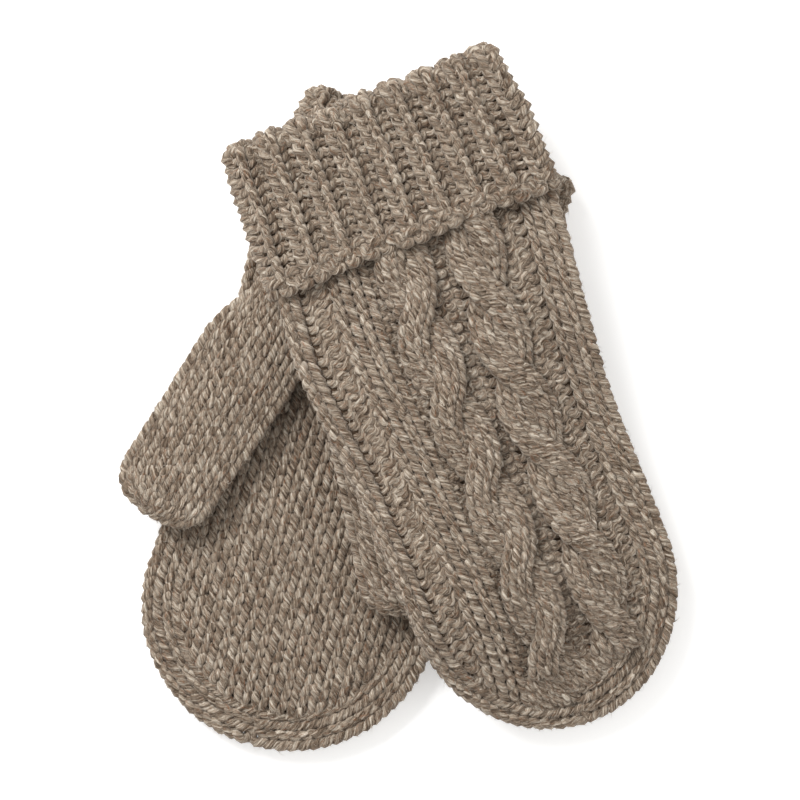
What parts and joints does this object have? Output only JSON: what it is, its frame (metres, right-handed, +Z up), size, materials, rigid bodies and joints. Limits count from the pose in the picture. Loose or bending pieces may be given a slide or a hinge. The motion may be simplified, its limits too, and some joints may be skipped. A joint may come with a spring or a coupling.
{
  "type": "pair of mittens",
  "caption": "Pair of chunky cable-knit mittens with turned-back rib cuffs, laid flat and crossed, one palm up and one back up.",
  "frame": {"origin": "middle of the pair's base, on the surface it lies on", "axes": "+Z up, +Y towards the cuffs, fingertips towards -Y, +X to the viewer's right"},
  "size_m": [0.215, 0.2746, 0.0485],
  "materials": {
    "wool_plain": "matte brushed wool",
    "wool_rib": "matte ribbed wool",
    "wool_cable": "matte cabled wool",
    "wool_seam": "matte wool yarn"
  },
  "bodies": {
    "right_hand": {"right_palm_panel": "wool_plain", "right_back_panel": "wool_plain", "right_outer_cable": "wool_cable", "right_inner_cable": "wool_cable", "right_thumb_gusset": "wool_plain", "right_thumb_seam": "wool_seam", "right_wrist_rib": "wool_rib", "right_side_seam": "wool_seam", "right_fingertip": "wool_plain"},
    "right_thumb": {"right_thumb_tube": "wool_plain", "right_thumb_tip": "wool_plain"},
    "right_cuff": {"right_turned_cuff": "wool_rib", "right_cast_on_edge": "wool_seam"},
    "left_hand": {"left_palm_panel": "wool_plain", "left_back_panel": "wool_plain", "left_outer_cable": "wool_cable", "left_inner_cable": "wool_cable", "left_thumb_gusset": "wool_plain", "left_thumb_seam": "wool_seam", "left_wrist_rib": "wool_rib", "left_side_seam": "wool_seam", "left_fingertip": "wool_plain"},
    "left_thumb": {"left_thumb_tube": "wool_plain", "left_thumb_tip": "wool_plain"},
    "left_cuff": {"left_turned_cuff": "wool_rib", "left_cast_on_edge": "wool_seam"}
  },
  "joints": [
    {"name": "right_thumb_swing", "type": "hinge", "parent": "right_hand", "child": "right_thumb", "pos_m": [-0.04419, 0.0359, 0.0243], "axis": [0, 0, 1], "range_deg": [-12, 6]},
    {"name": "right_cuff_unroll", "type": "slide", "parent": "right_hand", "child": "right_cuff", "axis": [0.3518, 0.9361, 0], "range_m": [0, 0.045]},
    {"name": "left_mitten_lift", "type": "slide", "parent": "right_hand", "child": "left_hand", "axis": [0, 0, 1], "range_m": [0, 0.15]},
    {"name": "left_thumb_swing", "type": "hinge", "parent": "left_hand", "child": "left_thumb", "pos_m": [-0.0142, 0.02985, 0.0243], "axis": [0, 0, 1], "range_deg": [-7, 0]},
    {"name": "left_cuff_unroll", "type": "slide", "parent": "left_hand", "child": "left_cuff", "axis": [-0.3746, 0.9272, 0], "range_m": [0, 0.045]}
  ]
}
